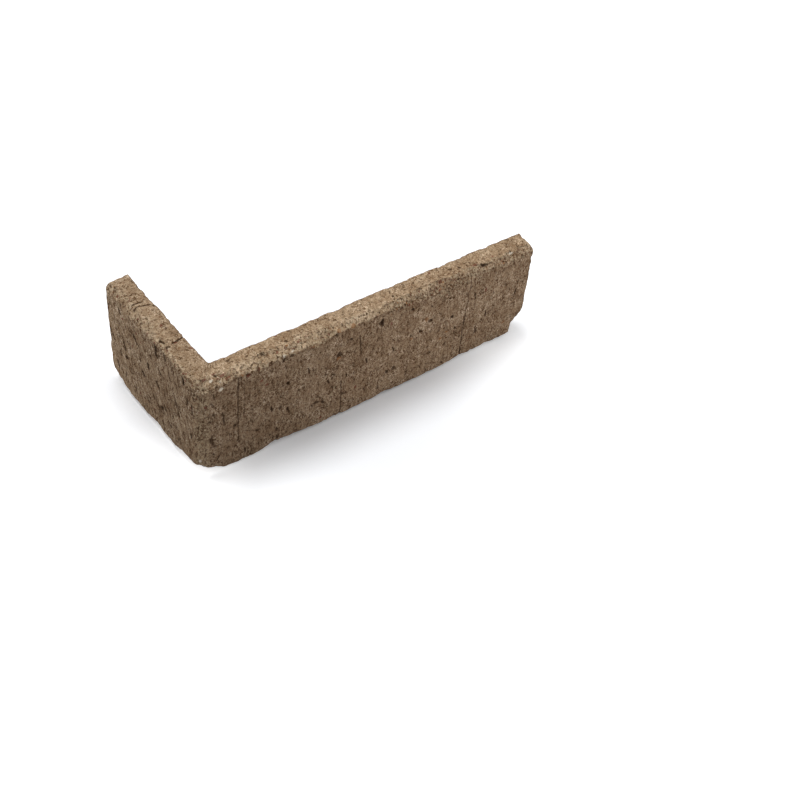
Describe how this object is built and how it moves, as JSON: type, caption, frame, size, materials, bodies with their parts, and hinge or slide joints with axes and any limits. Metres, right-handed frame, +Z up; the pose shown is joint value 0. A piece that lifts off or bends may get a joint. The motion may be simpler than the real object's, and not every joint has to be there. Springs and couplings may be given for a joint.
{
  "type": "corner brick slip",
  "caption": "Thin L of fired clay with a long stretcher face and a short header face, sawn flat behind, for facing the corner of a wall so that it looks like solid brick.",
  "frame": {"origin": "middle of the bounding box in plan, on the surface that the lower bed rests on", "axes": "+X along the long stretcher leg away from the corner, +Y along the short header leg away from the corner, +Z up from the lower bed to the upper bed; the stretcher face looks to -Y and the header face to -X"},
  "size_m": [0.215, 0.094, 0.0648],
  "materials": {
    "fired_clay": "rough"
  },
  "bodies": {
    "root": {"corner_slip": "fired_clay"}
  },
  "joints": []
}
